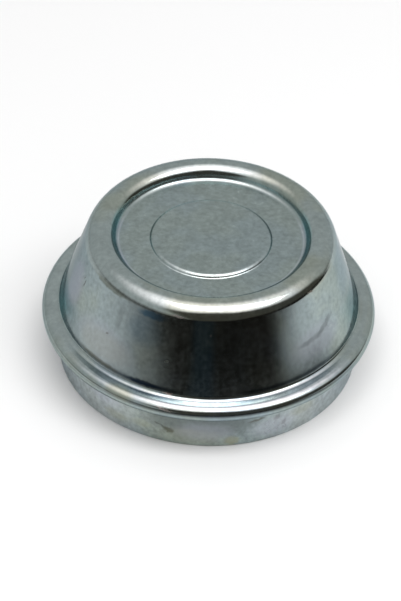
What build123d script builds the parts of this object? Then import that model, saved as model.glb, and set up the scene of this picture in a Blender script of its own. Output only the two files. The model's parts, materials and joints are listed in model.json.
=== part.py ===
"""Drive-in hub grease cap, drawn and folded from one round blank of sheet steel.

The cap stands on the rim of its press-in skirt: the origin is the centre of that rim and +Z is the axis of
revolution, pointing at the closed top. Lengths are millimetres and angles are degrees.

The wall is one strip of even thickness. Its half section is written the way a press tool sees it, as straight
runs and bends from the middle of the top panel out to the skirt's rim, and is then turned about the axis.
"""

import os
from dataclasses import dataclass
from math import acos, atan2, cos, degrees, hypot, radians, sin, sqrt, tan

from build123d import *

# Sheet
sheet = 1.2                  # thickness of the steel blank

# Press-in skirt
skirt_diameter = 55.5        # outside, the size that is driven into the hub
skirt_length = 8.3           # rim to the stop flange's seat
skirt_corner_radius = 0.6    # inside radius of the bend between the seat and the skirt
rim_chamfer = 0.25           # bevel of the trimmed rim, both sides

# Stop flange, the sheet folded flat on itself
flange_overhang = 3.25       # how far the flange stands out past the skirt
fold_gap = 0.7               # left open between the two layers

# Flaring wall
overall_height = 28.45       # rim to the crest of the bead
wall_foot_set_out = 0.15     # wall's foot on the flange, outside the line of the skirt
wall_foot_radius = 0.9       # inside radius of the bend between the wall and the flange

# Bead round the top
bead_crest_diameter = 39.9   # ring along the bead's crest
bead_wall_radius = 2.15      # inside radius of the bend from the crest out to the wall
bead_panel_radius = 1.1      # inside radius of the bend from the crest in to the panel's flank

# Top panel, sunk inside the bead, with a low round pad pressed up in its middle
panel_depth = 2.3            # crest of the bead down to the panel
panel_flank = 0.3            # straight stretch of the slope between the crest and the panel
panel_corner_radius = 1.1    # inside radius of the bend between the flank and the panel
pad_diameter = 23.0          # foot of the pad
pad_rise = 0.6               # pad above the panel
pad_foot_radius = 0.4        # at the pad's foot, coined to the same radius on both faces
pad_shoulder_radius = 0.9    # at the pad's shoulder, coined to the same radius on both faces

QUARTER_TURN = 90.0
HALF_TURN = 180.0


@dataclass(frozen=True)
class Run:
    """A straight stretch of the strip."""

    length: float


@dataclass(frozen=True)
class Bend:
    """A bend in the strip: the radius on its inside, and the turn, positive to the left of the way along it.

    A coined bend is pressed so hard that both faces take the same radius and the sheet thins on the slope.
    """

    inside_radius: float
    turn: float
    coined: bool = False


def step_angle(rise, radii, flank=0.0):
    """Slope of a step of the given rise: two equal and opposite bends, with a straight flank between them.

    The slope a solves radii * (1 - cos a) + flank * sin a = rise, where radii is the sum of the bends' radii.
    """
    return degrees(acos((radii - rise) / hypot(radii, flank)) - atan2(flank, radii))


def strip_face(start, steps, left):
    """Edges of one face of the strip, which sets out along +X of the section from the start point.

    A free bend's own radius is on the face that its centre is on, and the other face is one sheet further out.
    """
    edges = []
    point, heading = Vector(*start), Vector(1, 0)
    for step in steps:
        if isinstance(step, Run):
            edge = Line(point, point + heading * step.length)
        else:
            on_inside = (step.turn > 0) == left
            radius = step.inside_radius + (0 if on_inside or step.coined else sheet)
            edge = JernArc(start=point, tangent=heading, radius=radius, arc_size=step.turn)
        edges.append(edge)
        point, heading = edge @ 1, edge % 1
    return edges


# Levels and radii of the outer face that the bends work towards
skirt_radius = skirt_diameter / 2
flange_thickness = 2 * sheet + fold_gap
flange_top = skirt_length + flange_thickness
fold_radius = flange_thickness / 2
fold_centre_radius = skirt_radius + flange_overhang - fold_radius
wall_foot = skirt_radius + wall_foot_set_out
panel_level = overall_height - panel_depth
bead_radius = bead_wall_radius + sheet
bead_centre_radius = bead_crest_diameter / 2
bead_centre_level = overall_height - bead_radius

# Pad: a step down from its flat top to the panel
pad_radii = pad_foot_radius + pad_shoulder_radius
pad_angle = step_angle(pad_rise, pad_radii)
pad_flat = pad_diameter / 2 - pad_radii * sin(radians(pad_angle))

# Panel edge: a step up from the panel to the crest of the bead
edge_radii = panel_corner_radius + bead_panel_radius + sheet
edge_angle = step_angle(panel_depth, edge_radii, panel_flank)
edge_width = edge_radii * sin(radians(edge_angle)) + panel_flank * cos(radians(edge_angle))
panel_flat_edge = bead_centre_radius - edge_width

# Wall: the line from its foot on the flange that just touches the bead, and its lean from upright
reach, drop = wall_foot - bead_centre_radius, flange_top - bead_centre_level
wall_lean = degrees(atan2(drop, reach) + acos(bead_radius / hypot(reach, drop)))
foot_turn = QUARTER_TURN - wall_lean
foot_setback = wall_foot_radius * tan(radians(foot_turn / 2))
wall_run = sqrt(hypot(reach, drop) ** 2 - bead_radius**2) - foot_setback

strip = [
    Run(pad_flat),
    Bend(pad_shoulder_radius, -pad_angle, coined=True),
    Bend(pad_foot_radius, pad_angle, coined=True),
    Run(panel_flat_edge - pad_diameter / 2),
    Bend(panel_corner_radius, edge_angle),
    Run(panel_flank),
    Bend(bead_panel_radius, -edge_angle),
    Bend(bead_wall_radius, -foot_turn),
    Run(wall_run),
    Bend(wall_foot_radius, foot_turn),
    Run(fold_centre_radius - wall_foot - foot_setback),
    Bend(fold_gap / 2, -HALF_TURN),
    Run(fold_centre_radius - skirt_radius - skirt_corner_radius),
    Bend(skirt_corner_radius, QUARTER_TURN),
    Run(skirt_length - skirt_corner_radius),
]

# The way along the strip runs outwards over the top, so its left face is the outside of the cap
outer_face = strip_face((0, panel_level + pad_rise), strip, left=True)
inner_face = strip_face((0, panel_level + pad_rise - sheet), strip, left=False)
axis_end = Line(inner_face[0] @ 0, outer_face[0] @ 0)
rim_end = Line(outer_face[-1] @ 1, inner_face[-1] @ 1)

section = make_face([*outer_face, rim_end, *inner_face, axis_end])
section = chamfer(section.vertices().group_by(Axis.Y)[0], rim_chamfer)

# The section is drawn with its second axis as height, so it is stood up before it is turned about +Z
grease_cap = revolve(Plane.XZ * section, axis=Axis.Z)
grease_cap.label = "grease_cap"

os.makedirs("parts", exist_ok=True)
export_step(grease_cap, "parts/grease_cap.step")
print("wall lean", round(wall_lean, 2), "edge angle", round(edge_angle, 2), "volume", round(grease_cap.volume))
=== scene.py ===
"""Looks of a drive-in hub grease cap: zinc-plated sheet steel under a soft studio light.

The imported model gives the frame. The cap is turned again here as a finer skin of the same section, so that
its mirror-like finish is smooth, and it takes the place of the solid. Sizes are millimetres until they
enter a mesh. Azimuths are degrees from the viewer's side, which is -Y, round towards +X.
"""

import json
import logging
from dataclasses import dataclass, field, fields
from enum import Enum, IntEnum
from functools import partial
from math import acos, atan2, ceil, cos, degrees, hypot, pi, radians, sin, sqrt, tan
from typing import NamedTuple

import bpy
import numpy as np
from mathutils import Matrix, Vector


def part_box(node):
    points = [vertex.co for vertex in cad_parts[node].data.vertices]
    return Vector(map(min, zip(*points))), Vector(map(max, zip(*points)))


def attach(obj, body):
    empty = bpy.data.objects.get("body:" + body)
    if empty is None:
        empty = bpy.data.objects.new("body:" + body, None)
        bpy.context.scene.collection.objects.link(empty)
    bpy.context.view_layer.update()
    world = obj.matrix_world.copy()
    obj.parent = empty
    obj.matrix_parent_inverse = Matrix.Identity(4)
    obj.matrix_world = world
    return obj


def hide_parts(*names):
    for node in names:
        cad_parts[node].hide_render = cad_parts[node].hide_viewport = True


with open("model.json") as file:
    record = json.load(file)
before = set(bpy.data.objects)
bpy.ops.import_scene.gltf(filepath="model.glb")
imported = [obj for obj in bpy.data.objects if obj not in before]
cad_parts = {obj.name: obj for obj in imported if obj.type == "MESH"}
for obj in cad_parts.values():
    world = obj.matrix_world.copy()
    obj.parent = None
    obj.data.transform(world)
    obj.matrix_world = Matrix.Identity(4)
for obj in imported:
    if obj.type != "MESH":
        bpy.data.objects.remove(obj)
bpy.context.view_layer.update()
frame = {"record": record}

log = logging.getLogger("grease_cap")

MM = 0.001
NODE = "grease_cap"
PHOTO_WIDTH, PHOTO_HEIGHT = 401, 601
QUARTER_TURN = 90.0
HALF_TURN = 180.0

# Settings that several nodes share: a smooth rise between two limits, and one colour laid over another,
# which is the third output of the node that mixes
SMOOTH = {"interpolation_type": "SMOOTHSTEP"}
COLOURS = {"data_type": "RGBA", "out": 2}

# Inputs of the node that mixes, after its share: the colours below and above, or the plain numbers
UNDER, OVER = 6, 7
NUMBER_UNDER, NUMBER_OVER = 2, 3

NOISE_MIDDLE = 0.5      # a noise node's values lie between 0 and 1


def linear(code: str) -> tuple[float, float, float, float]:
    """Turns an sRGB hex colour into linear light.

    Args:
        code: six hex digits, red first.

    Returns:
        Red, green, blue and an alpha of 1.
    """
    levels = [int(code[i:i + 2], 16) / 255 for i in (0, 2, 4)]
    return (*[v / 12.92 if v <= 0.04045 else ((v + 0.055) / 1.055) ** 2.4 for v in levels], 1.0)


def add_node(tree: bpy.types.NodeTree, kind: str, *values: object, out: int | str = 0,
             sockets: dict[int | str, object] | None = None, **settings: object) -> bpy.types.NodeSocket:
    """Adds a shader node, sets it and feeds it.

    Args:
        tree: the node tree it goes into.
        kind: the node's type name, without the ShaderNode that all of them start with.
        values: what feeds its first inputs in order, each a plain value or another node's output socket.
        out: number or name of the output that is handed back.
        sockets: what feeds other inputs, by number or name.
        settings: the node's own properties.

    Returns:
        One output socket of the new node.
    """
    node = tree.nodes.new("ShaderNode" + kind)
    for name, value in settings.items():
        setattr(node, name, value)
    for key, value in (dict(enumerate(values)) | (sockets or {})).items():
        if isinstance(value, bpy.types.NodeSocket):
            tree.links.new(value, node.inputs[key])
        else:
            node.inputs[key].default_value = value
    return node.outputs[out]


def toward(azimuth: float, elevation: float) -> Vector:
    """Unit vector for an azimuth from the viewer's side and an elevation, both in degrees."""
    a, e = radians(azimuth), radians(elevation)
    return Vector((sin(a) * cos(e), -cos(a) * cos(e), sin(e)))


def link(name: str, data: bpy.types.ID) -> bpy.types.Object:
    """Makes an object of the data and puts it in the scene.

    Args:
        name: the object's name.
        data: a mesh, light or camera.

    Returns:
        The new object.
    """
    obj = bpy.data.objects.new(name, data)
    bpy.context.scene.collection.objects.link(obj)
    return obj


def paint(mesh: bpy.types.Mesh, amounts: dict[str, np.ndarray]) -> None:
    """Gives a mesh attributes that its material reads.

    Args:
        mesh: the mesh, with as many vertices as each array has values.
        amounts: attribute names and their values.
    """
    for name, values in amounts.items():
        attribute = mesh.attributes.new(name, "FLOAT", "POINT")
        attribute.data.foreach_set("value", values.astype(np.float32).ravel())


class Fade(NamedTuple):
    """A smooth rise from 0 where a value is clear to 1 where it is full. Either may be the larger."""

    clear: float | np.ndarray
    full: float | np.ndarray

    def at(self, value: np.ndarray) -> np.ndarray:
        """Shares for the values, 3 t^2 - 2 t^3 where t runs from 0 at clear to 1 at full."""
        t = np.clip((value - self.clear) / (self.full - self.clear), 0, 1)
        return t * t * (3 - 2 * t)

    def moved(self, other: "Fade", share: np.ndarray) -> "Fade":
        """The fade that lies the given share of the way towards another."""
        return Fade(*[here + share * (there - here) for here, there in zip(self, other)])


class Zone(IntEnum):
    """Stretches of the sheet that came out of the press with different surfaces."""

    PANEL = 0
    EDGE = 1
    BEAD = 2
    WALL = 3
    FLANGE = 4
    LEDGE = 5
    SKIRT = 6
    INSIDE = 7


@dataclass(frozen=True)
class Surface:
    """How one zone looks: roughness, and the amounts of satin grain, specks, streaks, films and painted
    highlight.
    """

    roughness: float
    grain: float
    specks: float
    streaks: float
    cool: float
    warm: float
    burnish: float = 0.0


SURFACES = {
    Zone.PANEL: Surface(roughness=0.24, grain=1.0, specks=1.0, streaks=0.0, cool=0.2, warm=0.1),
    Zone.EDGE: Surface(roughness=0.24, grain=0.3, specks=0.4, streaks=0.0, cool=0.8, warm=0.0),
    Zone.BEAD: Surface(roughness=0.13, grain=0.7, specks=0.8, streaks=0.1, cool=0.0, warm=0.8, burnish=0.1),
    Zone.WALL: Surface(roughness=0.15, grain=0.7, specks=1.2, streaks=1.0, cool=0.25, warm=0.3),
    Zone.FLANGE: Surface(roughness=0.13, grain=0.4, specks=0.6, streaks=0.1, cool=0.5, warm=0.3),
    Zone.LEDGE: Surface(roughness=0.2, grain=0.4, specks=0.6, streaks=0.1, cool=0.4, warm=0.1, burnish=0.9),
    Zone.SKIRT: Surface(roughness=0.34, grain=1.0, specks=1.5, streaks=0.7, cool=0.2, warm=0.4, burnish=0.5),
    Zone.INSIDE: Surface(roughness=0.36, grain=0.8, specks=1.0, streaks=0.5, cool=0.4, warm=0.4),
}

# What the skin carries for its material: the surface's own amounts, and three that SheetMap lays on it, a
# painted reflection and two painted shades
AMOUNTS = (*[f.name for f in fields(Surface)], "corner", "pooled", "grime")


class WearAndShade(Enum):
    """Kinds of mark on the plate, of wear and of painted shade, each with its colour and its roughness."""

    SMUDGE = ("45412f", 0.55)   # grease and dirt
    STRAW = ("a2a387", 0.30)    # thick passivate, yellowish
    OLIVE = ("4f5038", 0.22)    # painted shade: a brownish green line where the bead meets the wall and in the corner at the wall's foot
    VIOLET = ("b4b6c2", 0.18)   # thin passivate, a violet grey
    BLUE = ("4a7088", 0.16)     # painted reflection: dark blue, widening the dark reflection under the bead
    NAVY = ("16283c", 0.14)     # painted shade: almost black, in the corner at the wall's foot
    BARE = ("c9c1bd", 0.34)     # rubbed down to pale metal
    RUST = ("6e3f2e", 0.60)     # a first trace of rust
    SHADOW = ("5d6464", 0.34)   # painted shade, grey: the skirt's front darker under the flange, and dark bands and streaks on the wall
    SCUFF = ("63625b", 0.42)    # a dull scratch


@dataclass(frozen=True)
class Mark:
    """A spot of wear or of painted shade, by its kind: its middle on the surface, its length and width, and
    its tilt in degrees.
    """

    kind: WearAndShade
    azimuth: float
    radius: float
    height: float
    length: float
    width: float
    tilt: float = 0.0
    strength: float = 1.0

    def own_frame(self, depth: float) -> tuple[tuple[float, ...], ...]:
        """Works out the mark's own frame, with axes along it, into the sheet and across it.

        A long mark reaches deeper by the rise of its arc, length^2 / (8 radius), to follow the curve.

        Args:
            depth: how far a short mark reaches into the sheet, in mm.

        Returns:
            The frame's place in mm, its turns in radians and its half sizes in mm.
        """
        a = radians(self.azimuth)
        place = (self.radius * sin(a), -self.radius * cos(a), self.height)
        turns = (0.0, -radians(self.tilt), a)
        halves = (self.length / 2, depth + self.length ** 2 / (8 * self.radius), self.width / 2)
        return place, turns, halves


# Later marks lie over earlier ones
MARKS = (
    Mark(WearAndShade.SMUDGE, -13.4, 27.75, 3.1, length=2.1, width=1.2, tilt=-14, strength=0.9),
    Mark(WearAndShade.SMUDGE, -15.6, 27.75, 3.6, length=1.9, width=0.5, tilt=-28, strength=0.6),
    Mark(WearAndShade.SMUDGE, -18.2, 27.75, 4.1, length=1.3, width=0.4, tilt=-34, strength=0.5),
    Mark(WearAndShade.STRAW, 10.4, 27.75, 1.3, length=3.2, width=2.4, strength=0.6),
    Mark(WearAndShade.STRAW, -24.8, 27.75, 3.0, length=4.5, width=2.0, strength=0.3),
    Mark(WearAndShade.STRAW, -31.0, 30.4, 11.0, length=7.0, width=2.0, strength=0.4),
    # Painted shade: the skirt's front darker under the flange
    Mark(WearAndShade.SHADOW, -1.0, 27.75, 5.9, length=26.0, width=9.0, strength=0.7),
    Mark(WearAndShade.SCUFF, 20.0, 27.75, 5.4, length=3.2, width=0.5, tilt=8, strength=0.7),
    Mark(WearAndShade.SCUFF, 31.2, 27.75, 3.2, length=1.6, width=0.9, tilt=60, strength=0.6),
    Mark(WearAndShade.SCUFF, 28.4, 27.75, 5.0, length=1.8, width=1.1, tilt=50, strength=0.5),
    Mark(WearAndShade.BARE, -13.8, 30.6, 10.6, length=3.4, width=0.5, tilt=-4, strength=0.8),
    Mark(WearAndShade.BARE, -14.6, 27.4, 11.9, length=2.1, width=0.45, tilt=-3),
    Mark(WearAndShade.RUST, -14.0, 27.3, 12.1, length=1.6, width=0.3, tilt=-3, strength=0.7),
    Mark(WearAndShade.SCUFF, -68.4, 24.2, 22.0, length=1.9, width=0.25, tilt=70, strength=0.8),
    Mark(WearAndShade.SMUDGE, -45.2, 25.4, 18.2, length=0.8, width=0.4, tilt=20, strength=0.7),
    Mark(WearAndShade.RUST, 52.0, 23.0, 26.3, length=1.6, width=0.4, tilt=-10, strength=0.5),
    Mark(WearAndShade.BARE, -13.4, 22.8, 26.3, length=2.6, width=0.55, tilt=-4, strength=0.9),
    # Painted reflection: dark blue under the bead on the left, widening the dark reflection
    Mark(WearAndShade.BLUE, -25.5, 23.4, 25.4, length=6.0, width=1.6, strength=0.8),
    Mark(WearAndShade.BLUE, -27.0, 24.4, 22.4, length=8.0, width=8.0, strength=0.3),
    # Painted shade: an olive line where the bead meets the wall, on the left
    Mark(WearAndShade.OLIVE, -50.5, 23.0, 26.2, length=11.0, width=1.1, strength=0.5),
    # Painted shade: a navy line in the corner at the wall's foot
    Mark(WearAndShade.NAVY, -24.0, 27.4, 12.6, length=8.0, width=1.1, strength=0.85),
    # Painted shade: an olive line in the corner at the wall's foot
    Mark(WearAndShade.OLIVE, -46.0, 27.4, 12.6, length=10.0, width=0.8, strength=0.5),
    Mark(WearAndShade.STRAW, -6.0, 27.75, 2.2, length=13.0, width=4.0, strength=0.2),
    Mark(WearAndShade.VIOLET, -47.0, 26.2, 16.0, length=16.0, width=8.0, strength=0.3),
    Mark(WearAndShade.STRAW, -45.0, 26.2, 15.6, length=14.0, width=6.0, strength=0.2),
    Mark(WearAndShade.VIOLET, 50.0, 25.9, 17.0, length=14.0, width=7.0, strength=0.3),
    Mark(WearAndShade.VIOLET, -77.0, 25.2, 20.0, length=8.0, width=15.0, strength=0.55),
    Mark(WearAndShade.VIOLET, -42.0, 27.75, 5.5, length=9.0, width=4.0, strength=0.3),
    Mark(WearAndShade.VIOLET, 0.0, 27.75, 3.4, length=12.0, width=4.5, strength=0.25),
    Mark(WearAndShade.VIOLET, 27.0, 27.75, 3.0, length=10.0, width=4.5, strength=0.35),
    Mark(WearAndShade.STRAW, -36.0, 27.75, 2.4, length=6.0, width=2.0, strength=0.3),
    Mark(WearAndShade.STRAW, 40.0, 27.75, 4.5, length=6.0, width=2.5, strength=0.25),
    Mark(WearAndShade.SCUFF, -69.7, 24.2, 23.0, length=1.2, width=0.22, tilt=80, strength=0.7),
    # Painted shade: a soft dark band on the left of the wall, and darker streaks on the right
    Mark(WearAndShade.SHADOW, -41.0, 24.4, 22.0, length=1.6, width=7.0, tilt=-6, strength=0.22),
    Mark(WearAndShade.SHADOW, 56.0, 25.5, 18.7, length=6.0, width=1.3, tilt=22, strength=0.4),
    Mark(WearAndShade.SHADOW, 47.0, 25.6, 17.9, length=6.5, width=1.1, tilt=4, strength=0.3),
    Mark(WearAndShade.SMUDGE, -16.4, 25.6, 17.7, length=1.0, width=0.5, strength=0.6),
    Mark(WearAndShade.BARE, 1.2, 24.0, 23.4, length=0.4, width=0.3, strength=0.6),
)


@dataclass(frozen=True)
class Cloud:
    """A noise pattern: the size of its features in mm, and how many finer layers lie on the first."""

    size_mm: float
    layers: float

    def feed(self, place: bpy.types.NodeSocket) -> dict[str, object]:
        """What a noise node needs to draw the pattern at a place given in mm."""
        return {"Vector": place, "Scale": 1 / self.size_mm, "Detail": self.layers}


@dataclass(frozen=True)
class ZincPlate:
    """Bright zinc electroplate with a clear bluish passivate over drawn steel.

    The plate mirrors its surroundings softly. The passivate gives it a cool cast that drifts to violet and
    straw where the film is thicker. The press leaves a satin grain on flat stretches and fine streaks on
    drawn ones.
    """

    plate: str = "9ba7a5"
    cool_film: str = "8f9fab"
    warm_film: str = "9ba294"
    burnish: str = "cad0d4"     # painted highlight: lighter metal where the plate shows highlights and bright reflections
    corner: str = "80b4b6"      # painted reflection: a teal tint in the corners, where the plate is seen twice, in itself and in its mirror image
    pooled: str = "2a666c"      # painted shade pooled in the corners, teal
    grime: str = "26313a"       # painted shade: a dark line in the corner at the wall's foot, and painted shadow under the fold
    edge_tint: str = "cbd3d7"   # zinc mirrors less than most metals where it is seen edge on
    least_roughness: float = 0.05

    # Patterns, and how strongly they shade the colour, roughen the plate and stand out of it
    grain: Cloud = Cloud(0.45, 2.0)     # satin grain, coarser than the real 0.1 mm so that it shows
    streaks: Cloud = Cloud(0.9, 3.0)    # drawing streaks, coarser than the real ones so that they show
    bands: Cloud = Cloud(4.5, 1.0)      # broad bands down the wall
    specks: Cloud = Cloud(0.8, 3.0)     # specks, coarser than the real crystals so that they show
    mottle: Cloud = Cloud(2.6, 3.0)     # cloudiness of the plate
    film: Cloud = Cloud(11.0, 2.0)      # patches where the film changes colour
    ragged: Cloud = Cloud(0.9, 3.0)     # raggedness of the marks' edges
    streak_stretch: float = 0.05        # how fast a streak changes along its length, where across it is 1
    film_edge: Fade = Fade(-0.06, 0.12)     # noise between no cool film and all of it, warm the other way
    mottle_shade: float = 0.34
    band_shade: float = 0.30
    speck_shade: float = 0.60
    mottle_roughness: float = 0.08
    streak_roughness: float = 0.10
    speck_roughness: float = 0.10
    grain_depth_mm: float = 0.0022
    streak_depth_mm: float = 0.003

    # Wear and painted shade
    marks: tuple[Mark, ...] = MARKS
    mark_rim: Fade = Fade(1.25, 0.5)    # a mark's edge, in shares of its half size
    mark_depth_mm: float = 1.5

    def material(self, ring_radius: float) -> bpy.types.Material:
        """Builds the plate's shader.

        Args:
            ring_radius: radius in mm at which the drawing streaks have their stated spacing.

        Returns:
            The finished material.
        """
        material = bpy.data.materials.new("zinc_plate")
        material.use_nodes = True
        tree = material.node_tree
        put = partial(add_node, tree)
        shader = tree.nodes["Principled BSDF"].inputs
        shader["Metallic"].default_value = 1.0
        shader["Specular Tint"].default_value = linear(self.edge_tint)
        amount = {name: put("Attribute", attribute_name=name, out="Fac") for name in AMOUNTS}

        # Places in mm: the point itself, and for streaks its spoke on a ring that hardly rises with it
        place = put("TexCoord", out="Object")
        place = put("VectorMath", place, sockets={"Scale": 1 / MM}, operation="SCALE")
        axes = put("SeparateXYZ", place).node.outputs
        spoke = put("VectorMath", put("CombineXYZ", axes[0], axes[1]), operation="NORMALIZE")
        ring = put("VectorMath", spoke, sockets={"Scale": ring_radius}, operation="SCALE")
        rise = put("Math", axes[2], self.streak_stretch, operation="MULTIPLY")
        ring = put("VectorMath", ring, put("CombineXYZ", sockets={2: rise}), operation="ADD")

        # Patterns, each centred on zero, and some of them only as strong as the zone has them
        patterns = []
        for cloud, where, name in ((self.grain, place, "grain"), (self.streaks, ring, "streaks"),
                                   (self.bands, ring, "streaks"), (self.specks, place, "specks"),
                                   (self.mottle, place, None), (self.film, place, None)):
            pattern = put("TexNoise", sockets=cloud.feed(where))
            pattern = put("Math", pattern, NOISE_MIDDLE, operation="SUBTRACT")
            if name:
                pattern = put("Math", pattern, amount[name], operation="MULTIPLY")
            patterns.append(pattern)
        grain, streaks, bands, specks, mottle, film = patterns

        # Colour: the plate under its films, with painted highlight, painted reflection and painted shade,
        # and a faint cloudiness
        clear, full = self.film_edge
        cool = put("MapRange", film, clear, full, **SMOOTH)
        warm = put("MapRange", film, -clear, -full, **SMOOTH)
        covers = (
            (put("Math", cool, amount["cool"], operation="MULTIPLY"), self.cool_film),
            (put("Math", warm, amount["warm"], operation="MULTIPLY"), self.warm_film),
            # The last four are painted: a highlight, a reflection in the corners, shade pooled in the
            # corners, and shade at the wall's foot and under the fold
            (amount["burnish"], self.burnish),
            (amount["corner"], self.corner),
            (amount["pooled"], self.pooled),
            (amount["grime"], self.grime),
        )
        colour = linear(self.plate)
        for share, code in covers:
            colour = put("Mix", share, sockets={UNDER: colour, OVER: linear(code)}, **COLOURS)
        shade = 1.0
        for pattern, weight in ((mottle, self.mottle_shade), (bands, self.band_shade),
                                (specks, self.speck_shade)):
            shade = put("Math", pattern, weight, shade, operation="MULTIPLY_ADD")
        colour = put("VectorMath", colour, sockets={"Scale": shade}, operation="SCALE")

        # Roughness: the zone's own, clouded by the plating
        rough = amount["roughness"]
        for pattern, weight in ((mottle, self.mottle_roughness), (streaks, self.streak_roughness),
                                (specks, self.speck_roughness)):
            rough = put("Math", pattern, weight, rough, operation="MULTIPLY_ADD")

        # Wear and painted shade: each mark is a spot with ragged edges, found in its own frame on the
        # surface
        shift = put("TexNoise", sockets=self.ragged.feed(place), out="Color")
        shift = put("VectorMath", shift, (NOISE_MIDDLE,) * 3, operation="SUBTRACT")
        ragged = put("VectorMath", shift, (self.ragged.size_mm,) * 3, place, operation="MULTIPLY_ADD")
        for mark in self.marks:
            spot = put("Mapping", ragged, *mark.own_frame(self.mark_depth_mm), vector_type="TEXTURE")
            away = put("VectorMath", spot, operation="LENGTH", out="Value")
            share = put("MapRange", away, *self.mark_rim, **SMOOTH)
            share = put("Math", share, mark.strength, operation="MULTIPLY")
            code, roughness = mark.kind.value
            colour = put("Mix", share, sockets={UNDER: colour, OVER: linear(code)}, **COLOURS)
            rough = put("Mix", share, sockets={NUMBER_UNDER: rough, NUMBER_OVER: roughness})
        tree.links.new(colour, shader["Base Color"])
        tree.links.new(put("Math", rough, self.least_roughness, operation="MAXIMUM"), shader["Roughness"])

        # Relief: the satin grain and the drawing streaks
        relief = put("Bump", sockets={"Height": grain, "Distance": self.grain_depth_mm * MM})
        relief = put("Bump", sockets={"Height": streaks, "Distance": self.streak_depth_mm * MM,
                                      "Normal": relief})
        tree.links.new(relief, shader["Normal"])
        return material


@dataclass(frozen=True)
class FootReflectionAndShade:
    """Painted reflection and painted shade at the wall's foot on one side of the cap: a thin teal tint in
    the corner and a painted shade pooled a little above it.
    """

    corner: float
    corner_azimuth: Fade
    pooled: float
    pooled_azimuth: Fade
    pooled_top: Fade        # mm above the flange


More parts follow.
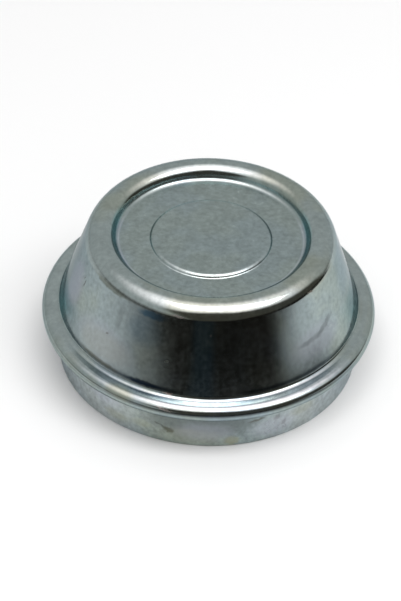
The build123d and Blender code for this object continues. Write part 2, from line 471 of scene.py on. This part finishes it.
@dataclass(frozen=True)
class SheetMap:
    """Where the plate's films, painted highlight, painted reflection and painted shade lie on the sheet.

    Azimuths are in degrees, and those called from_front count both ways from the viewer's side. Radii are
    in mm, and heights in mm above the flange. A slope is how much of the surface's direction points inward,
    upward or downward, up to 1.
    """

    streak_radius: Fade = Fade(14, 20)          # streaks end where the spokes crowd together on the panel
    plain_from_front: Fade = Fade(45, 80)       # the flange has no cool film towards the sides
    shown_from_front: Fade = Fade(120, 98)      # corner film ends behind the sides

    # Painted highlight: lighter metal on the ledge towards the front, on the skirt's sides, on the flange's
    # level bends and in the bend round the panel
    struck_azimuth: float = 16.0
    struck_apart: Fade = Fade(50, 25)           # degrees from there
    struck_least: float = 0.14                  # what the rest of the ledge has
    skirt_from_front: Fade = Fade(15, 45)
    bend_burnish: float = 0.9                   # on the flange's bends, where they lie nearly level
    bend_upward: Fade = Fade(0.80, 0.97)
    panel_corner_burnish: float = 0.4           # in the bend round the panel, between two slopes
    panel_corner_from: Fade = Fade(0.04, 0.2)
    panel_corner_to: Fade = Fade(0.55, 0.35)

    # Painted reflection and painted shade on the flank between the panel and the bead
    flank_inward: Fade = Fade(0.6, 0.88)
    flank_corner: float = 0.7
    flank_pooled_shown: float = 0.10
    flank_pooled_behind: float = 0.25

    # Painted reflection and painted shade at the wall's foot
    left: FootReflectionAndShade = FootReflectionAndShade(corner=0.8, corner_azimuth=Fade(-70, -82), pooled=0.6,
                              pooled_azimuth=Fade(-62, -80), pooled_top=Fade(5.4, 4.2))
    right: FootReflectionAndShade = FootReflectionAndShade(corner=0.5, corner_azimuth=Fade(72, 84), pooled=0.45,
                               pooled_azimuth=Fade(64, 82), pooled_top=Fade(6.8, 5.2))
    corner_top: Fade = Fade(3.6, 2.4)
    corner_radius: float = 29.0                 # the bend at the wall's foot ends inside this
    corner_outward: float = 0.85                # and takes the film only where it stands nearly upright
    pooled_bottom: Fade = Fade(1.6, 3.0)

    # Painted shade at the wall's foot, apart from a gap in front, and painted shadow under the fold on the
    # left
    foot_grime: float = 0.85
    foot_bottom: Fade = Fade(0.5, 0.9)
    foot_grime_top: Fade = Fade(1.75, 1.4)
    foot_gap_azimuth: float = 2.0
    foot_gap_apart: Fade = Fade(8, 16)          # degrees from there
    foot_grime_from_front: Fade = Fade(75, 45)
    fold_grime: float = 0.5
    fold_downward: Fade = Fade(0.1, 0.4)
    fold_right_end: Fade = Fade(-22, -40)
    fold_left_end: Fade = Fade(-110, -95)

    def amounts(self, zone: np.ndarray, points: np.ndarray, outward: np.ndarray,
                flange_top: float) -> dict[str, np.ndarray]:
        """Works out what each point of the skin carries for its material.

        Each amount is the zone's own from the table of surfaces, times or plus fades in azimuth, radius,
        height and slope.

        Args:
            zone: the points' zones.
            points: their places in mm.
            outward: which way the surface faces there, as its shares away from the axis and up.
            flange_top: height of the flange's upper side in mm.

        Returns:
            An array for each of the names in AMOUNTS.
        """
        azimuth = np.degrees(np.arctan2(points[:, 0], -points[:, 1]))
        from_front = np.abs(azimuth)
        radius = np.hypot(points[:, 0], points[:, 1])
        above = points[:, 2] - flange_top
        inward, upward = -outward[:, 0], outward[:, 1]
        on_edge, on_wall, on_flange, on_ledge, on_skirt = [
            zone == z for z in (Zone.EDGE, Zone.WALL, Zone.FLANGE, Zone.LEDGE, Zone.SKIRT)]
        amounts = {}
        for name in (f.name for f in fields(Surface)):
            amounts[name] = np.array([getattr(SURFACES[z], name) for z in Zone])[zone]

        amounts["streaks"] *= self.streak_radius.at(radius)
        amounts["cool"] *= np.where(on_ledge | on_flange, 1 - self.plain_from_front.at(from_front), 1)
        shown = self.shown_from_front.at(from_front)

        # Painted highlight on the ledge towards the front, on the skirt's sides, on the flange's level bends
        # and in the bend round the panel
        highlight_share = self.struck_apart.at(np.abs(azimuth - self.struck_azimuth))
        highlight_share = np.maximum(highlight_share, self.struck_least)
        amounts["burnish"] *= np.where(on_ledge, highlight_share, 1)
        amounts["burnish"] *= np.where(on_skirt, self.skirt_from_front.at(from_front), 1)
        amounts["burnish"] += self.bend_burnish * on_flange * self.bend_upward.at(upward) * highlight_share
        panel_corner = on_edge * self.panel_corner_from.at(inward) * self.panel_corner_to.at(inward)
        amounts["burnish"] += self.panel_corner_burnish * panel_corner * shown

        # Painted reflection on the panel's flank and at the wall's foot, on the side towards the viewer, and
        # painted shade pooled there
        flank = (on_edge | (zone == Zone.BEAD)) * self.flank_inward.at(inward)
        upright = on_wall | on_flange & (radius < self.corner_radius) & (inward < -self.corner_outward)
        foot = on_wall * self.foot_bottom.at(above)
        sides = (self.left, self.right)
        in_corner = sum(s.corner * s.corner_azimuth.at(azimuth) for s in sides)
        pooled = sum(s.pooled * s.pooled_azimuth.at(azimuth) * s.pooled_top.at(above) for s in sides)
        in_corner = in_corner * upright * self.corner_top.at(above)
        amounts["corner"] = shown * (self.flank_corner * flank + in_corner)
        # Painted shade pooled at the wall's foot and on the panel's flank
        pooled = pooled * foot * self.pooled_bottom.at(above)
        flank_pooled = self.flank_pooled_shown * shown + self.flank_pooled_behind * (1 - shown)
        amounts["pooled"] = flank_pooled * flank + pooled * shown

        # Painted shade at the wall's foot and painted shadow under the fold
        foot_grime = self.foot_grime * foot * self.foot_grime_top.at(above)
        foot_grime *= self.foot_gap_apart.at(np.abs(azimuth - self.foot_gap_azimuth))
        foot_grime *= self.foot_grime_from_front.at(from_front)
        under_fold = on_flange * self.fold_downward.at(-upward)
        under_fold *= self.fold_right_end.at(azimuth) * self.fold_left_end.at(azimuth)
        amounts["grime"] = np.maximum(foot_grime, self.fold_grime * under_fold)
        return amounts


@dataclass(frozen=True)
class Step:
    """A stretch of the sheet's half section: a straight run, or a bend with a turn in degrees.

    A turn to the left is positive. A coined bend has the same radius on both faces of the sheet.
    """

    zone: Zone
    length: float = 0.0
    inside_radius: float = 0.0
    turn: float = 0.0
    coined: bool = False


@dataclass(frozen=True)
class Ripple:
    """One wave round the drawn wall: its lobes, phase and twist up the wall in radians, and its share."""

    lobes: int
    phase: float
    twist: float
    share: float = 1.0


class Profile(NamedTuple):
    """Points along a section: radius and height in mm, which way the outer side faces, and the zone."""

    points: np.ndarray
    outward: np.ndarray
    zone: np.ndarray


@dataclass
class GreaseCap:
    """The whole cap, one sheet of even thickness carried along runs and bends and turned about +Z.

    The skirt's radius and the level of the flange's seat are read from the frame's mounts. The flange's
    radius and the overall height come from the solid's box.
    """

    sheet: float = 1.2
    skirt_corner_radius: float = 0.6
    rim_chamfer: float = 0.25
    fold_gap: float = 0.7
    wall_foot_set_out: float = 0.15
    wall_foot_radius: float = 0.9
    bead_crest_diameter: float = 39.9
    bead_wall_radius: float = 2.15
    bead_panel_radius: float = 1.1
    panel_depth: float = 2.3
    panel_flank: float = 0.3
    panel_corner_radius: float = 1.1
    pad_diameter: float = 23.0
    pad_rise: float = 0.6
    pad_foot_radius: float = 0.4
    pad_shoulder_radius: float = 0.9
    spokes: int = 360
    run_spacing: float = 1.1        # mm between the rings on a straight stretch
    run_extra: int = 3              # rings added to each straight stretch, for the short ones
    bend_spacing: float = 7.0       # degrees between the rings on a bend
    bend_extra: int = 1
    inside_coarser: float = 2.4     # wider spacing on the inside, which is seen less
    sharp_angle: float = 35.0       # degrees between faces from which an edge is sharp
    ripple_height: float = 0.025
    ripples: tuple[Ripple, ...] = (Ripple(7, 1.1, 1.3), Ripple(13, 0.4, -1.2), Ripple(22, 2.2, 0.8, 0.6))
    finish: ZincPlate = ZincPlate()
    sheet_map: SheetMap = SheetMap()
    skirt_radius: float = field(init=False)
    seat: float = field(init=False)
    height: float = field(init=False)
    flange_radius: float = field(init=False)
    flange_top: float = field(init=False)

    def __post_init__(self) -> None:
        """Reads the sizes that the frame holds."""
        mounts = {m["name"]: m for m in frame["record"]["mounts"]}
        low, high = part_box(NODE)
        self.skirt_radius = mounts["press_skirt"]["dims"]["r_mm"]
        self.seat = mounts["stop_seat"]["pos_m"][2] / MM
        self.height = high.z / MM
        self.flange_radius = (high.x - low.x) / 2 / MM
        self.flange_top = self.seat + 2 * self.sheet + self.fold_gap

    def strip(self) -> tuple[float, list[Step]]:
        """Works out the runs and bends from the middle of the top to the skirt's rim.

        A step in the panel is two opposite bends with a straight flank between them. Its slope a solves
        radii * (1 - cos a) + flank * sin a = rise. The wall is the tangent from its foot to the bead.

        Returns:
            The level of the outer face on the axis, and the steps.
        """
        bead_radius = self.bead_wall_radius + self.sheet
        bead_r, bead_z = self.bead_crest_diameter / 2, self.height - bead_radius
        panel_z = self.height - self.panel_depth
        fold_r = self.flange_radius - self.sheet - self.fold_gap / 2
        foot_r = self.skirt_radius + self.wall_foot_set_out

        pad_radii = self.pad_foot_radius + self.pad_shoulder_radius
        pad_turn = degrees(acos(1 - self.pad_rise / pad_radii))
        pad_r = self.pad_diameter / 2
        edge_radii = self.panel_corner_radius + self.bead_panel_radius + self.sheet
        edge = acos((edge_radii - self.panel_depth) / hypot(edge_radii, self.panel_flank))
        edge -= atan2(self.panel_flank, edge_radii)
        edge_turn = degrees(edge)
        panel_r = bead_r - edge_radii * sin(edge) - self.panel_flank * cos(edge)

        reach, drop = foot_r - bead_r, self.flange_top - bead_z
        span = hypot(reach, drop)
        lean = degrees(atan2(drop, reach) + acos(bead_radius / span))
        foot_turn = QUARTER_TURN - lean
        setback = self.wall_foot_radius * tan(radians(foot_turn / 2))

        steps = [
            Step(Zone.PANEL, length=pad_r - pad_radii * sin(radians(pad_turn))),
            Step(Zone.PANEL, inside_radius=self.pad_shoulder_radius, turn=-pad_turn, coined=True),
            Step(Zone.PANEL, inside_radius=self.pad_foot_radius, turn=pad_turn, coined=True),
            Step(Zone.PANEL, length=panel_r - pad_r),
            Step(Zone.EDGE, inside_radius=self.panel_corner_radius, turn=edge_turn),
            Step(Zone.EDGE, length=self.panel_flank),
            Step(Zone.BEAD, inside_radius=self.bead_panel_radius, turn=-edge_turn),
            Step(Zone.BEAD, inside_radius=self.bead_wall_radius, turn=-foot_turn),
            Step(Zone.WALL, length=sqrt(span ** 2 - bead_radius ** 2) - setback),
            Step(Zone.FLANGE, inside_radius=self.wall_foot_radius, turn=foot_turn),
            Step(Zone.LEDGE, length=fold_r - foot_r - setback),
            Step(Zone.FLANGE, inside_radius=self.fold_gap / 2, turn=-HALF_TURN),
            Step(Zone.FLANGE, length=fold_r - self.skirt_radius - self.skirt_corner_radius),
            Step(Zone.SKIRT, inside_radius=self.skirt_corner_radius, turn=QUARTER_TURN),
            Step(Zone.SKIRT, length=self.seat - self.skirt_corner_radius - self.rim_chamfer),
        ]
        return panel_z + self.pad_rise, steps

    def face(self, left: bool) -> Profile:
        """Samples one face of the sheet along its steps.

        On a run the points are start + along * heading, with closer points at both ends. On a bend they are
        centre - side * radius * left(heading), where left() turns a heading by a quarter turn.

        Args:
            left: true for the outside of the cap, false for the inside.

        Returns:
            The face from the top to the skirt's rim, without its point on the axis.
        """
        level, steps = self.strip()
        wider = 1.0 if left else self.inside_coarser
        point = np.array([0.0, level if left else level - self.sheet])
        heading = 0.0
        stretches = []
        for step in steps:
            if step.turn:
                count = ceil(abs(step.turn) / (self.bend_spacing * wider)) + self.bend_extra
                side = np.sign(step.turn)
                on_inside = (step.turn > 0) == left
                radius = step.inside_radius + (0 if on_inside or step.coined else self.sheet)
                angles = heading + radians(step.turn) * np.linspace(0, 1, count + 1)
                outward = np.stack([-np.sin(angles), np.cos(angles)], -1)
                centre = point + side * radius * outward[0]
                points = centre - side * radius * outward
            else:
                count = ceil(step.length / (self.run_spacing * wider)) + self.run_extra
                along = step.length * (1 - np.cos(np.linspace(0, pi, count + 1))) / 2
                angles = np.full(count + 1, heading)
                outward = np.stack([-np.sin(angles), np.cos(angles)], -1)
                points = point + along[:, None] * np.array([cos(heading), sin(heading)])
            zone = np.full(count, int(step.zone if left else Zone.INSIDE))
            stretches.append(Profile(points[1:], outward[1:], zone))
            point, heading = points[-1], angles[-1]
        return Profile(*map(np.concatenate, zip(*stretches)))

    def section(self) -> Profile:
        """Joins the outer face, the trimmed rim and the inner face into one line from pole to pole.

        Returns:
            The whole section, without its two points on the axis.
        """
        trimmed = [[self.skirt_radius - self.rim_chamfer, 0.0],
                   [self.skirt_radius - self.sheet + self.rim_chamfer, 0.0]]
        rim = Profile(np.array(trimmed), np.zeros((2, 2)), np.full(2, int(Zone.SKIRT)))
        outer, inner = self.face(left=True), self.face(left=False)
        back = Profile(*[column[::-1] for column in inner])
        return Profile(*map(np.concatenate, zip(outer, rim, back)))

    def waves(self, azimuth: np.ndarray, radius: np.ndarray, height: np.ndarray) -> np.ndarray:
        """Ripple of the drawn wall, which fades out above, below and inside the wall.

        It is the sum of share * sin(lobes * azimuth + phase + twist * s) times sin^2(pi s), where s runs
        from 0 at the wall's foot to 1 at the crest.

        Args:
            azimuth: angles in radians.
            radius: distances from the axis in mm.
            height: heights in mm.

        Returns:
            How far the sheet stands out from its true form, in mm, for each height and azimuth.
        """
        s = np.clip((height - self.flange_top) / (self.height - self.flange_top), 0, 1)
        crest = self.bead_crest_diameter / 2
        swell = np.sin(pi * s) ** 2 * Fade(crest, crest + self.sheet).at(radius)
        return self.ripple_height * swell * sum(
            r.share * np.sin(r.lobes * azimuth + r.phase + r.twist * s) for r in self.ripples)

    def build(self) -> bpy.types.Object:
        """Turns the section into a closed skin.

        A point of the section at radius r and height z becomes (r sin a, -r cos a, z) on the spoke at each
        azimuth a. The two ends of the section lie on the axis and close as poles. The drawing leaves a
        ripple of a few hundredths of a millimetre in the wall.

        Returns:
            The cap's object.
        """
        section = self.section()
        azimuth = np.arange(self.spokes) * 2 * pi / self.spokes
        wave = self.waves(azimuth, section.points[:, :1], section.points[:, 1:])
        radius = section.points[:, :1] + wave * section.outward[:, :1]
        height = section.points[:, 1:] + wave * section.outward[:, 1:]
        grid = np.stack([radius * np.sin(azimuth), -radius * np.cos(azimuth), height], -1)
        level, _ = self.strip()
        poles = np.array([[0, 0, level], [0, 0, level - self.sheet]])
        points = np.concatenate([grid.reshape(-1, 3), poles])

        rings, spokes = grid.shape[:2]
        here = np.arange(spokes)
        after = np.roll(here, -1)
        upper = np.arange(rings - 1)[:, None] * spokes
        lower = upper + spokes
        quads = np.stack([upper + here, lower + here, lower + after, upper + after], -1).reshape(-1, 4)
        top, bottom = rings * spokes, rings * spokes + 1
        last = (rings - 1) * spokes
        fans = np.concatenate([np.stack([np.full(spokes, top), here, after], -1),
                               np.stack([np.full(spokes, bottom), last + after, last + here], -1)])
        mesh = bpy.data.meshes.new(NODE + "_skin")
        mesh.from_pydata((points * MM).tolist(), [], [*quads.tolist(), *fans.tolist()])
        mesh.shade_smooth()
        mesh.set_sharp_from_angle(angle=radians(self.sharp_angle))

        zone = np.concatenate([np.repeat(section.zone, spokes), [Zone.PANEL, Zone.INSIDE]])
        outward = np.concatenate([np.repeat(section.outward, spokes, axis=0), np.zeros((2, 2))])
        paint(mesh, self.sheet_map.amounts(zone, points, outward, self.flange_top))
        return link(NODE + "_skin", mesh)

    def dress(self, skin: bpy.types.Object) -> None:
        """Gives the skin its finish and puts it in the solid's place.

        Args:
            skin: the cap's object.
        """
        skin.data.materials.append(self.finish.material(self.skirt_radius))
        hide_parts(NODE)
        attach(skin, "root")


@dataclass(frozen=True)
class Softbox:
    """A level rectangle of soft light that hangs over the cap and faces straight down."""

    name: str = "key"
    centre_mm: tuple[float, float, float] = (150, -150, 520)
    width_mm: float = 640
    depth_mm: float = 230
    radiance: float = 4.2

    def build(self) -> None:
        """Hangs the light. Its power gives its face the stated radiance: power = radiance * pi * area."""
        lamp = bpy.data.lights.new(self.name, "AREA")
        lamp.shape = "RECTANGLE"
        lamp.size, lamp.size_y = self.width_mm * MM, self.depth_mm * MM
        lamp.energy = self.radiance * pi * lamp.size * lamp.size_y
        link(self.name, lamp).location = Vector(self.centre_mm) * MM


@dataclass(frozen=True)
class MattBoard:
    """The floor, a sheet of pale matt card, which gives the eye an even white and a soft shadow."""

    colour: str = "f7f7f7"
    roughness: float = 0.9
    gloss: float = 0.1
    half_mm: float = 3000.0

    def build(self) -> bpy.types.Object:
        """Lays the plain floor that the cap stands on, a square that reaches half_mm each way.

        Returns:
            The floor's object.
        """
        corners = np.array([[-1, -1, 0], [1, -1, 0], [1, 1, 0], [-1, 1, 0]]) * self.half_mm * MM
        mesh = bpy.data.meshes.new("floor")
        mesh.from_pydata(corners.tolist(), [], [(0, 1, 2, 3)])
        material = bpy.data.materials.new("matt_board")
        material.use_nodes = True
        shader = material.node_tree.nodes["Principled BSDF"].inputs
        shader["Base Color"].default_value = linear(self.colour)
        shader["Roughness"].default_value = self.roughness
        shader["Specular IOR Level"].default_value = self.gloss
        mesh.materials.append(material)
        floor = link("floor", mesh)
        return floor


@dataclass(frozen=True)
class DarkCloth:
    """A dark cloth on the floor in front of the cap, seen only in its reflections, as in a product studio.

    It is clear at the cap's foot and thickens with distance. It thins out towards the left over a wide
    angle and towards the right over a narrow one, and its far part reaches further round. Distances are mm
    from the cap's axis, and azimuths are degrees.
    """

    height_mm: float = 0.3
    inner_mm: float = 38.0
    outer_mm: float = 4300.0
    rings: int = 90
    spokes: int = 181
    tone: str = "1b1815"
    cool_tone: str = "1e282e"
    cool_left: Fade = Fade(-13, -9)         # a cooler stripe, straight in front
    cool_right: Fade = Fade(6, 3)

    # The main part: how thick it grows, and its two edges, which open out with distance
    thickening_mm: float = 12.0
    dense: float = 0.95
    denser: float = 0.046
    denser_from: Fade = Fade(95, 140)
    away: Fade = Fade(110, 260)
    left: Fade = Fade(-95, -8)
    left_away: Fade = Fade(-130, -28)
    close: Fade = Fade(100, 75)
    right: Fade = Fade(78, 42)
    right_close: Fade = Fade(100, 57)

    # The far part
    far: Fade = Fade(135, 185)
    far_left: Fade = Fade(-40, -14)
    far_right: Fade = Fade(120, 106)

    # A thin cover on the left, a little thicker near the cap
    thin: float = 0.16
    thin_close: float = 0.12
    thin_close_to: Fade = Fade(75, 55)
    thin_from: Fade = Fade(38, 46)
    thin_right: Fade = Fade(80, -40)

    def cover(self, radius: np.ndarray, azimuth: np.ndarray) -> np.ndarray:
        """How much of the floor the cloth hides.

        The main part is 1 - exp(-(r - inner) / thickening) times fades in azimuth. The densest part counts.

        Args:
            radius: distances from the cap's axis in mm.
            azimuth: azimuths in degrees.

        Returns:
            Shares from 0 to 1.
        """
        dense = self.dense * (1 - np.exp(-np.clip(radius - self.inner_mm, 0, None) / self.thickening_mm))
        dense = dense + self.denser * self.denser_from.at(radius)
        left = self.left.moved(self.left_away, self.away.at(radius))
        right = self.right.moved(self.right_close, self.close.at(radius))
        near = dense * left.at(azimuth) * right.at(azimuth)
        far = self.far.at(radius) * self.far_left.at(azimuth) * self.far_right.at(azimuth)
        thin = self.thin + self.thin_close * self.thin_close_to.at(radius)
        thin = thin * self.thin_from.at(radius) * self.thin_right.at(azimuth)
        return np.maximum(np.maximum(near, far), thin)

    def material(self) -> bpy.types.Material:
        """Builds the cloth's shader, an even dark tone that lets the floor through where it is thin.

        Returns:
            The finished material.
        """
        material = bpy.data.materials.new("dark_cloth")
        material.use_nodes = True
        tree = material.node_tree
        tree.nodes.remove(tree.nodes["Principled BSDF"])
        put = partial(add_node, tree)
        cover, cool = [put("Attribute", attribute_name=name, out="Fac") for name in ("cover", "cool")]
        tones = {UNDER: linear(self.tone), OVER: linear(self.cool_tone)}
        cloth = put("Emission", put("Mix", cool, sockets=tones, **COLOURS))
        mixed = put("MixShader", cover, put("BsdfTransparent"), cloth)
        tree.links.new(mixed, tree.nodes["Material Output"].inputs["Surface"])
        return material

    def build(self) -> bpy.types.Object:
        """Builds the cloth as a level ring, (r sin a, -r cos a, height) for radii r and azimuths a.

        Returns:
            The cloth's object.
        """
        radius = np.geomspace(self.inner_mm, self.outer_mm, self.rings)[:, None]
        azimuth = np.linspace(-HALF_TURN, HALF_TURN, self.spokes)[None, :]
        a = np.radians(azimuth)
        grid = np.stack(np.broadcast_arrays(radius * np.sin(a), -radius * np.cos(a), self.height_mm), -1)
        rows, columns = grid.shape[:2]
        corner = (np.arange(rows - 1)[:, None] * columns + np.arange(columns - 1)).ravel()
        quads = np.stack([corner, corner + columns, corner + columns + 1, corner + 1], -1)
        mesh = bpy.data.meshes.new("dark_cloth")
        mesh.from_pydata((grid.reshape(-1, 3) * MM).tolist(), [], quads.tolist())
        cool = self.cool_left.at(azimuth) * self.cool_right.at(azimuth)
        paint(mesh, {"cover": self.cover(radius, azimuth), "cool": np.broadcast_to(cool, (rows, columns))})
        mesh.materials.append(self.material())
        cloth = link("dark_cloth", mesh)
        cloth.visible_camera = cloth.visible_diffuse = cloth.visible_shadow = False
        return cloth


@dataclass(frozen=True)
class Room:
    """The room round the stage: an even grey on the floor, and in reflections a room that glows overhead.

    In reflections it has a dark side, where the photographer stands. That reaches from straight in front
    round to the right, and its top slopes down both ways from a peak. A dark skirting runs along the foot
    of the room. Azimuths, elevations and angles apart are in degrees.
    """

    fill: float = 0.68
    colour: str = "fdffff"
    light: float = 0.62
    shade_colour: str = "524f49"

    # The glow
    glow_colour: str = "ffeef1"
    glow_light: float = 2.2
    glow_azimuth: float = 5.0
    glow_elevation: float = 63.0
    glow_apart: Fade = Fade(78, 12)         # from the glow's middle
    glow_backward: Fade = Fade(0.58, 0.16)  # share of the way that points to the back of the room
    glow_high: Fade = Fade(22, 66)          # it ends above the horizon
    glow_right: Fade = Fade(-10, 30)        # but not on the right

    # The dark side
    peak_azimuth: float = 6.0
    peak_elevation: float = 53.0
    slope_right: float = -0.31              # rise of its top for each degree of azimuth
    slope_left: float = 0.4
    lean_left: float = 0.65                 # lean of its edges, in azimuth for each degree of elevation
    lean_right: float = 0.5
    left_edge: Fade = Fade(-27, -9)
    right_edge: Fade = Fade(120, 106)
    top_edge: Fade = Fade(6, -8)

    # The skirting
    skirting: float = 0.85
    skirting_top: Fade = Fade(14, -2)
    skirting_left: Fade = Fade(-125, -75)
    skirting_right: Fade = Fade(130, 110)

    def build(self) -> None:
        """Builds the world's shader, in which each edge is a fade in azimuth or elevation."""
        world = bpy.data.worlds.new("room")
        world.use_nodes = True
        tree = world.node_tree
        put = partial(add_node, tree)
        way = put("TexCoord", out="Generated")
        axes = put("SeparateXYZ", way).node.outputs
        forward = put("Math", axes[1], -1.0, operation="MULTIPLY")
        azimuth = put("Math", put("Math", axes[0], forward, operation="ARCTAN2"), operation="DEGREES")
        elevation = put("Math", put("Math", axes[2], operation="ARCSINE"), operation="DEGREES")

        # Glow over an even light
        middle = toward(self.glow_azimuth, self.glow_elevation)
        apart = put("VectorMath", way, middle, operation="DOT_PRODUCT", out="Value")
        apart = put("Math", apart, operation="ARCCOSINE")
        spread = put("MapRange", apart, *[radians(limit) for limit in self.glow_apart], **SMOOTH)
        ahead = put("MapRange", axes[1], *self.glow_backward, **SMOOTH)
        high = put("MapRange", elevation, *self.glow_high, **SMOOTH)
        high = put("Math", high, put("MapRange", azimuth, *self.glow_right, **SMOOTH), operation="MAXIMUM")
        glow = spread
        for share in (ahead, high, self.glow_light):
            glow = put("Math", glow, share, operation="MULTIPLY")
        glow = put("VectorMath", linear(self.glow_colour)[:3], sockets={"Scale": glow}, operation="SCALE")
        even = [self.light * level for level in linear(self.colour)[:3]]
        room = put("VectorMath", glow, even, operation="ADD")

        # Dark side
        past = put("Math", azimuth, self.peak_azimuth, operation="SUBTRACT")
        past_right = put("Math", past, 0.0, operation="MAXIMUM")
        past_left = put("Math", past, 0.0, operation="MINIMUM")
        top = put("Math", past_right, self.slope_right, self.peak_elevation, operation="MULTIPLY_ADD")
        top = put("Math", past_left, self.slope_left, top, operation="MULTIPLY_ADD")
        over = put("Math", elevation, top, operation="SUBTRACT")
        from_left = put("Math", elevation, self.lean_left, azimuth, operation="MULTIPLY_ADD")
        from_right = put("Math", elevation, self.lean_right, azimuth, operation="MULTIPLY_ADD")
        dark = put("MapRange", from_left, *self.left_edge, **SMOOTH)
        for value, edge in ((from_right, self.right_edge), (over, self.top_edge)):
            dark = put("Math", dark, put("MapRange", value, *edge, **SMOOTH), operation="MULTIPLY")

        # Skirting
        low = put("MapRange", elevation, *self.skirting_top, **SMOOTH)
        for share in (put("MapRange", azimuth, *self.skirting_left, **SMOOTH), self.skirting,
                      put("MapRange", azimuth, *self.skirting_right, **SMOOTH)):
            low = put("Math", low, share, operation="MULTIPLY")
        dark = put("Math", dark, low, operation="MAXIMUM")
        room = put("Mix", dark, sockets={UNDER: room, OVER: linear(self.shade_colour)}, **COLOURS)

        # The room for reflections, the even grey for all else
        glossy = put("LightPath", out="Is Glossy Ray")
        shown = put("Mix", glossy, sockets={UNDER: (*[self.fill] * 3, 1.0), OVER: room}, **COLOURS)
        tree.links.new(shown, tree.nodes["Background"].inputs["Color"])
        bpy.context.scene.world = world


@dataclass(frozen=True)
class Viewpoint:
    """The camera, a pinhole where the photograph was taken from."""

    distance_mm: float = 700.1
    elevation: float = 40.44
    roll: float = 2.04
    aim_mm: tuple[float, float, float] = (-1.54, 0.0, 11.29)
    focal_px: float = 3761.9
    sensor_mm: float = 36.0
    clip_start_m: float = 0.01
    clip_end_m: float = 20.0

    def build(self) -> None:
        """Sets up the camera. Its lens follows from the focal length in pixels of the photograph."""
        roll = radians(self.roll)
        back = toward(0, self.elevation)
        right = Vector((1, 0, 0))
        up = back.cross(right)
        across = cos(roll) * right + sin(roll) * up
        upward = cos(roll) * up - sin(roll) * right
        lens = bpy.data.cameras.new("camera")
        lens.sensor_width = self.sensor_mm
        lens.lens = self.focal_px * self.sensor_mm / max(PHOTO_WIDTH, PHOTO_HEIGHT)
        lens.clip_start, lens.clip_end = self.clip_start_m, self.clip_end_m
        camera = link("camera", lens)
        place = (Vector(self.aim_mm) + back * self.distance_mm) * MM
        axes = Matrix((across, upward, back)).transposed().to_4x4()
        camera.matrix_world = Matrix.Translation(place) @ axes
        bpy.context.scene.camera = camera


@dataclass(frozen=True)
class Studio:
    """The stage that the cap is shown on."""

    floor: MattBoard = MattBoard()
    cloth: DarkCloth = DarkCloth()
    room: Room = Room()
    lamp: Softbox = Softbox()
    viewpoint: Viewpoint = Viewpoint()

    def build(self) -> None:
        """Sets the whole stage."""
        for piece in (self.floor, self.cloth, self.room, self.lamp, self.viewpoint):
            piece.build()
        bpy.context.scene.view_settings.view_transform = "Standard"


def main() -> None:
    """Builds the cap and its stage."""
    logging.basicConfig(level=logging.INFO, format="%(name)s: %(message)s")
    cap = GreaseCap()
    skin = cap.build()
    cap.dress(skin)
    log.info("%s: %d vertices, %d faces", skin.name, len(skin.data.vertices), len(skin.data.polygons))
    Studio().build()


if __name__ == "__main__":
    main()
